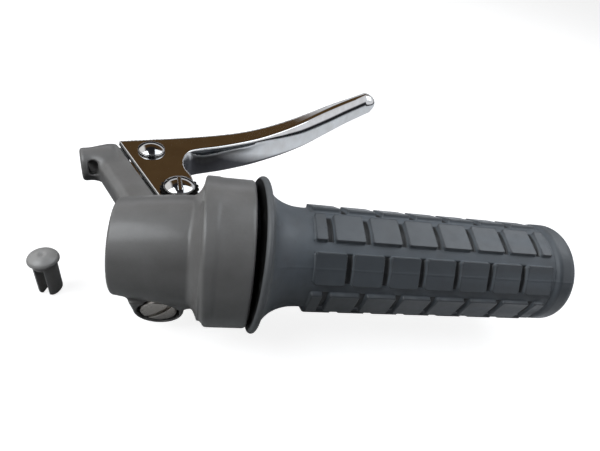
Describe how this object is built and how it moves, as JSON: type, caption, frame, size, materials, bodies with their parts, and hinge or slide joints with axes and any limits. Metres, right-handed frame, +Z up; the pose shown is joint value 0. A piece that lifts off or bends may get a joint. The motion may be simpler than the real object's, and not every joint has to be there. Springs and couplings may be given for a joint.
{
  "type": "throttle grip",
  "caption": "Right-hand twist throttle with block-pattern rubber grip, painted clamp housing and a pivoting brake lever on a bracket arm.",
  "frame": {"origin": "on the handlebar axis at the bar end stop, the flat boss inside the grip's closed end", "axes": "+X outboard along the handlebar, +Y forward towards the brake lever, +Z up along the lever's pivot screw"},
  "size_m": [0.1818, 0.1548, 0.0556],
  "materials": {
    "grey_paint": "satin",
    "polished_aluminium": "mirror polish",
    "chrome_screw": "bright",
    "zinc_plate": "zinc plated",
    "dark_steel": "oiled",
    "brass": "turned",
    "ivory_nylon": "matte",
    "black_felt": "oiled felt",
    "grip_rubber": "matte moulded"
  },
  "bodies": {
    "housing": {"housing": "grey_paint", "lever_bush": "brass", "thrust_washer": "ivory_nylon", "retaining_ring": "dark_steel", "adjuster_lock_nut": "zinc_plate", "clamp_screw": "zinc_plate", "clamp_washer": "zinc_plate"},
    "brake_lever": {"brake_lever": "polished_aluminium", "pivot_screw": "chrome_screw", "pivot_lock_washer": "dark_steel", "pivot_nut": "zinc_plate"},
    "cable_pin": {"cable_pin": "chrome_screw", "cable_pin_washer": "zinc_plate", "cable_pin_clip": "dark_steel"},
    "throttle": {"throttle_tube": "ivory_nylon", "rubber_grip": "grip_rubber", "dust_ring": "black_felt"},
    "cable_adjuster": {"throttle_cable_adjuster": "zinc_plate"},
    "split_plug": {"split_plug": "grey_paint"}
  },
  "joints": [
    {"name": "throttle_twist", "type": "hinge", "parent": "housing", "child": "throttle", "pos_m": [-0.1127, 0, 0], "axis": [1, 0, 0], "range_deg": [0, 85]},
    {"name": "lever_squeeze", "type": "hinge", "parent": "housing", "child": "brake_lever", "pos_m": [-0.1308, 0.022, 0.001], "axis": [0, 0, -1], "range_deg": [0, 42]},
    {"name": "cable_pin_swivel", "type": "hinge", "parent": "brake_lever", "child": "cable_pin", "pos_m": [-0.14335, 0.0443, 0.001], "axis": [0, 0, -1], "range_deg": [-42, 0]},
    {"name": "cable_adjuster_travel", "type": "slide", "parent": "housing", "child": "cable_adjuster", "axis": [0, 0, -1], "range_m": [0, 0.004]},
    {"name": "split_plug_lift", "type": "slide", "parent": "housing", "child": "split_plug", "axis": [0, 0, 1], "range_m": [0, 0.04]}
  ],
  "couplings": [
    {"joint": "cable_pin_swivel", "follows": "lever_squeeze", "ratio": -1}
  ]
}
